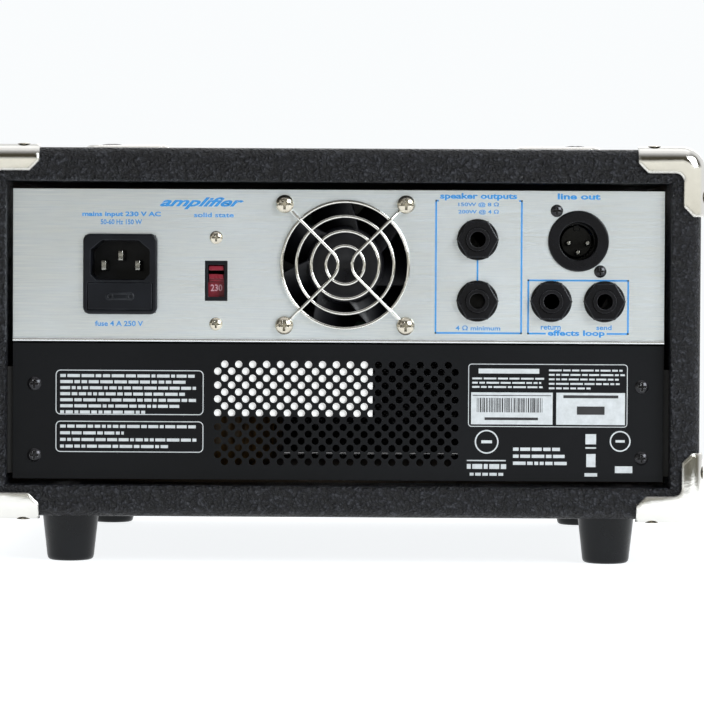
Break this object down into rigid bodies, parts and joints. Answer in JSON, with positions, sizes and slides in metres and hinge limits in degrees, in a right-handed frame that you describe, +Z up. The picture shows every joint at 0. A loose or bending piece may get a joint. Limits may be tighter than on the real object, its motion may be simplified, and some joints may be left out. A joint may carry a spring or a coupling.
{
  "type": "guitar amplifier head",
  "caption": "Compact bass and guitar amplifier head: vinyl-covered cabinet with metal corners, rubber feet, brushed rear connector panel, fan, knobs and handle.",
  "frame": {"origin": "on the floor under the middle of the cabinet", "axes": "+Z up, -Y out of the rear connector panel, +Y out of the front control panel, +X to the right seen from the rear, along the longest side"},
  "size_m": [0.3032, 0.2566, 0.178],
  "materials": {
    "plywood": "raw plywood, seen only inside",
    "vinyl": "pebble-grained black vinyl cloth, satin",
    "chrome": "bright plated steel",
    "nickel": "nickel-plated screw steel",
    "black_screw": "black oxide screw steel",
    "rubber": "matt moulded rubber",
    "strap": "satin moulded strap over a steel core",
    "chassis_steel": "zinc-plated folded steel",
    "aluminium_face": "brushed along X, clear lacquer",
    "black_plate": "fine satin powder coat",
    "white_card": "white insulating card",
    "fan_plastic": "glass-filled black plastic",
    "guard_wire": "plated spring wire",
    "inlet_plastic": "black thermoplastic",
    "contact": "plated contact brass",
    "red_plastic": "red moulded plastic",
    "fuse_glass": "clear glass with metal ends",
    "black_plastic": "moulded black plastic",
    "knob_plastic": "black knob with a white line",
    "lamp": "tinted lens",
    "frame_wood": "black-stained board",
    "grille_fabric": "woven black and silver grille cloth",
    "coil_wrap": "amber tape over copper winding",
    "circuit_board": "green solder mask",
    "capacitor_sleeve": "shrink sleeve",
    "sink_aluminium": "black anodised extrusion"
  },
  "bodies": {
    "cabinet": {"cabinet_top_board": "plywood", "cabinet_bottom_board": "plywood", "cabinet_left_board": "plywood", "cabinet_right_board": "plywood", "vinyl_covering": "vinyl", "inner_battens": "plywood", "rear_corner_protectors": "chrome", "front_corner_protectors": "chrome", "corner_screws": "nickel", "rubber_feet": "rubber", "foot_screws": "black_screw", "handle_strap": "strap", "handle_end_caps": "chrome", "handle_screws": "black_screw", "chassis_tray": "chassis_steel", "chassis_bolts": "nickel", "rear_panel_upper": "aluminium_face", "rear_panel_lower": "black_plate", "insulation_card": "white_card", "lower_panel_screws": "black_screw", "fan_frame": "fan_plastic", "fan_guard": "guard_wire", "fan_screws": "nickel", "mains_inlet_body": "inlet_plastic", "mains_inlet_pins": "contact", "voltage_selector_body": "inlet_plastic", "voltage_selector_screws": "nickel", "xlr_shell": "black_plastic", "xlr_pins": "contact", "xlr_screws": "black_screw", "speaker_jack_upper": "black_plastic", "speaker_jack_lower": "black_plastic", "return_jack": "black_plastic", "send_jack": "black_plastic", "jack_nuts": "black_plastic", "front_control_panel": "aluminium_face", "input_jack": "black_plastic", "potentiometers": "chassis_steel", "pad_switch_body": "black_plastic", "indicator_lamp": "lamp", "power_switch_housing": "black_plastic", "grille_frame": "frame_wood", "grille_cloth": "grille_fabric", "toroidal_transformer": "coil_wrap", "transformer_bolt": "nickel", "main_circuit_board": "circuit_board", "filter_capacitors": "capacitor_sleeve", "heat_sink": "sink_aluminium", "control_board": "circuit_board"},
    "fan_wheel": {"fan_impeller": "fan_plastic"},
    "fuse_drawer": {"fuse_drawer": "inlet_plastic", "fuse": "fuse_glass"},
    "selector_slider": {"voltage_selector_slider": "red_plastic"},
    "gain_knob": {"gain_knob": "knob_plastic"},
    "bass_knob": {"bass_knob": "knob_plastic"},
    "middle_knob": {"middle_knob": "knob_plastic"},
    "treble_knob": {"treble_knob": "knob_plastic"},
    "volume_knob": {"volume_knob": "knob_plastic"},
    "pad_button": {"pad_button": "black_plastic"},
    "power_rocker": {"power_rocker": "black_plastic"}
  },
  "joints": [
    {"name": "fan_spin", "type": "hinge", "parent": "cabinet", "child": "fan_wheel", "pos_m": [0.0028, -0.106, 0.12375], "axis": [0, 1, 0], "continuous": true},
    {"name": "fuse_drawer_pull", "type": "slide", "parent": "cabinet", "child": "fuse_drawer", "axis": [0, -1, 0], "range_m": [0, 0.018]},
    {"name": "voltage_select", "type": "slide", "parent": "cabinet", "child": "selector_slider", "axis": [0, 0, 1], "range_m": [-0.006, 0]},
    {"name": "gain_turn", "type": "hinge", "parent": "cabinet", "child": "gain_knob", "pos_m": [-0.068, 0.11, 0.1232], "axis": [0, 1, 0], "range_deg": [-150, 150]},
    {"name": "bass_turn", "type": "hinge", "parent": "cabinet", "child": "bass_knob", "pos_m": [-0.034, 0.11, 0.1232], "axis": [0, 1, 0], "range_deg": [-150, 150]},
    {"name": "middle_turn", "type": "hinge", "parent": "cabinet", "child": "middle_knob", "pos_m": [0, 0.11, 0.1232], "axis": [0, 1, 0], "range_deg": [-150, 150]},
    {"name": "treble_turn", "type": "hinge", "parent": "cabinet", "child": "treble_knob", "pos_m": [0.034, 0.11, 0.1232], "axis": [0, 1, 0], "range_deg": [-150, 150]},
    {"name": "volume_turn", "type": "hinge", "parent": "cabinet", "child": "volume_knob", "pos_m": [0.068, 0.11, 0.1232], "axis": [0, 1, 0], "range_deg": [-150, 150]},
    {"name": "pad_push", "type": "slide", "parent": "cabinet", "child": "pad_button", "axis": [0, -1, 0], "range_m": [0, 0.0025], "stiffness_N_per_m": 200},
    {"name": "power_rock", "type": "hinge", "parent": "cabinet", "child": "power_rocker", "pos_m": [0.114, 0.107, 0.1232], "axis": [1, 0, 0], "range_deg": [-21.8, 0]}
  ]
}
